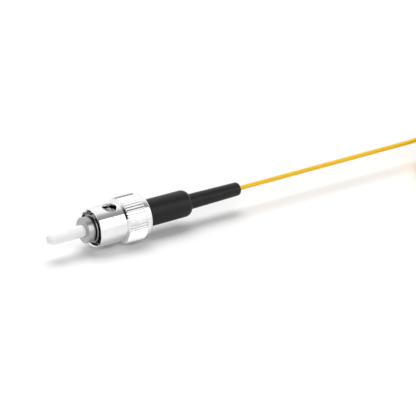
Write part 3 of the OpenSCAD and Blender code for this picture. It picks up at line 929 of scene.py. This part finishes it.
def make_world():
    """Even pale light, and soft boxes and dark gaps that only reflections show."""
    sizes = settings("stage_settings")
    world = bpy.data.worlds.new("studio")
    world.use_nodes = True
    nodes = world.node_tree.nodes
    nodes.clear()
    place, split = nodes.new("ShaderNodeTexCoord"), nodes.new("ShaderNodeSeparateXYZ")
    link(world, place.outputs["Generated"], split.inputs[0])
    away = math_node(world, "MULTIPLY", split.outputs[1], -1.0)
    turn = math_node(world, "ARCTAN2", away, split.outputs[2])
    share = math_node(world, "MULTIPLY_ADD", turn, 1 / math.tau)
    share.node.inputs[2].default_value = 0.5
    ramp = nodes.new("ShaderNodeValToRGB")
    link(world, share, ramp.inputs[0])
    stops = ramp.color_ramp.elements
    while len(stops) < len(SURROUNDINGS):
        stops.new(0.5)
    for stop, (degrees, value) in zip(stops, SURROUNDINGS):
        stop.position = degrees / 360 + 0.5
        stop.color = (value, value, value, 1)
    gap = nodes.new("ShaderNodeMapRange")
    gap.inputs["From Min"].default_value = -0.93
    gap.inputs["From Max"].default_value = -0.78
    gap.inputs["To Min"].default_value = 0.03
    link(world, split.outputs[0], gap.inputs["Value"])
    mirrored = math_node(world, "MULTIPLY", ramp.outputs[0], gap.outputs[0])
    path = nodes.new("ShaderNodeLightPath")
    level = None
    for ray, value in (("Is Glossy Ray", mirrored), ("Is Transmission Ray", 1.0), ("Is Camera Ray", 1.0)):
        mix = nodes.new("ShaderNodeMix")
        mix.data_type = "FLOAT"
        link(world, path.outputs[ray], mix.inputs[0])
        if level is None:
            mix.inputs[2].default_value = sizes.sky
        else:
            link(world, level, mix.inputs[2])
        if isinstance(value, float):
            mix.inputs[3].default_value = value
        else:
            link(world, value, mix.inputs[3])
        level = mix.outputs[0]
    background, output = nodes.new("ShaderNodeBackground"), nodes.new("ShaderNodeOutputWorld")
    link(world, level, background.inputs["Strength"])
    background.inputs["Color"].default_value = (1, 1, 1, 1)
    link(world, background.outputs[0], output.inputs["Surface"])
    bpy.context.scene.world = world


def make_lamp(name, direction, strength, spread_angle):
    """A distant lamp that lights the plug but isn't seen in its metal."""
    lamp = bpy.data.lights.new(name, "SUN")
    lamp.energy, lamp.angle = strength, spread_angle
    thing = bpy.data.objects.new(name, lamp)
    thing.rotation_euler = Vector(direction).to_track_quat("Z", "Y").to_euler()
    thing.visible_glossy = False
    bpy.context.scene.collection.objects.link(thing)


def make_camera():
    """Camera at the plug's front left, looking down on it."""
    sizes = settings("stage_settings")
    data = bpy.data.cameras.new("camera")
    data.lens, data.sensor_width = sizes.lens, 36
    data.clip_start, data.clip_end = 0.1, 100
    turn, rise = sizes.azimuth, sizes.elevation
    back = Vector((
        math.sin(turn) * math.cos(rise), -math.cos(turn) * math.cos(rise), math.sin(rise),
    ))
    camera = bpy.data.objects.new("camera", data)
    camera.location = Vector(sizes.aim) + back * sizes.view_width * sizes.lens / data.sensor_width
    camera.rotation_euler = back.to_track_quat("Z", "Y").to_euler()
    bpy.context.scene.collection.objects.link(camera)
    bpy.context.scene.camera = camera


def make_stage():
    """Floor, surroundings, lamps and camera."""
    sizes = settings("stage_settings")
    make_floor()
    make_world()
    make_lamp("key", (0.1, 0.3, 1), sizes.key, math.radians(48))
    make_lamp("fill", (-0.3, -0.8, 0.6), sizes.fill, math.radians(50))
    make_camera()
    bpy.context.scene.view_settings.view_transform = "Standard"


# ---------------------------------------------------------------- add-on


class PlugOperator:
    """What the operators share."""

    bl_options = {"REGISTER", "UNDO"}


class PLUG_OT_ferrule(PlugOperator, Operator):
    """Makes the ceramic ferrule"""

    bl_idname = "plug.ferrule"
    bl_label = "Ferrule"

    def execute(self, context):
        make_ferrule()
        return {"FINISHED"}


class PLUG_OT_holder(PlugOperator, Operator):
    """Makes the ferrule's holder"""

    bl_idname = "plug.holder"
    bl_label = "Ferrule Holder"

    def execute(self, context):
        make_holder()
        return {"FINISHED"}


class PLUG_OT_body(PlugOperator, Operator):
    """Makes the plug's body with its key"""

    bl_idname = "plug.body"
    bl_label = "Plug Body"

    def execute(self, context):
        make_body()
        return {"FINISHED"}


class PLUG_OT_nut(PlugOperator, Operator):
    """Makes the knurled coupling nut with its bayonet"""

    bl_idname = "plug.nut"
    bl_label = "Coupling Nut"

    def execute(self, context):
        make_nut()
        return {"FINISHED"}


class PLUG_OT_spring(PlugOperator, Operator):
    """Makes the spring behind the coupling nut's web"""

    bl_idname = "plug.spring"
    bl_label = "Spring"

    def execute(self, context):
        make_spring()
        return {"FINISHED"}


class PLUG_OT_boot(PlugOperator, Operator):
    """Makes the rubber boot"""

    bl_idname = "plug.boot"
    bl_label = "Boot"

    def execute(self, context):
        make_boot()
        return {"FINISHED"}


class PLUG_OT_inner_parts(PlugOperator, Operator):
    """Gives the washers, the ring, the guide tube and the inner fibre their finishes"""

    bl_idname = "plug.inner_parts"
    bl_label = "Inner Parts"

    def execute(self, context):
        finish_inner_parts()
        return {"FINISHED"}


class PLUG_OT_pigtail(PlugOperator, Operator):
    """Makes the fibre and finishes the ties round its stored turns"""

    bl_idname = "plug.pigtail"
    bl_label = "Pigtail"

    def execute(self, context):
        make_pigtail()
        finish_ties()
        return {"FINISHED"}


class PLUG_OT_stage(PlugOperator, Operator):
    """Makes the floor, the light and the camera"""

    bl_idname = "plug.stage"
    bl_label = "Stage"

    def execute(self, context):
        make_stage()
        return {"FINISHED"}


OPERATORS = [
    PLUG_OT_stage, PLUG_OT_pigtail, PLUG_OT_ferrule, PLUG_OT_holder, PLUG_OT_body, PLUG_OT_nut,
    PLUG_OT_spring, PLUG_OT_boot, PLUG_OT_inner_parts,
]


class PLUG_PT_panel(Panel):
    """Lists the pieces, their sizes and their finishes"""

    bl_idname = "PLUG_PT_panel"
    bl_label = "Fibre Plug"
    bl_space_type = "VIEW_3D"
    bl_region_type = "UI"
    bl_category = "Fibre Plug"

    def draw(self, context):
        for operator in OPERATORS:
            self.layout.operator(operator.bl_idname)
        for name in SETTINGS:
            group = getattr(context.scene, name)
            column = self.layout.box().column()
            for prop in group.__annotations__:
                column.prop(group, prop)


CLASSES = [*SETTINGS.values(), *OPERATORS, PLUG_PT_panel]


def register():
    for made in CLASSES:
        bpy.utils.register_class(made)
    for name, group in SETTINGS.items():
        setattr(bpy.types.Scene, name, PointerProperty(type=group))


def unregister():
    for name in SETTINGS:
        delattr(bpy.types.Scene, name)
    for made in reversed(CLASSES):
        bpy.utils.unregister_class(made)


def main():
    """Makes every piece."""
    register()
    for operator in OPERATORS:
        area, name = operator.bl_idname.split(".")
        getattr(getattr(bpy.ops, area), name)()


if __name__ == "__main__":
    main()
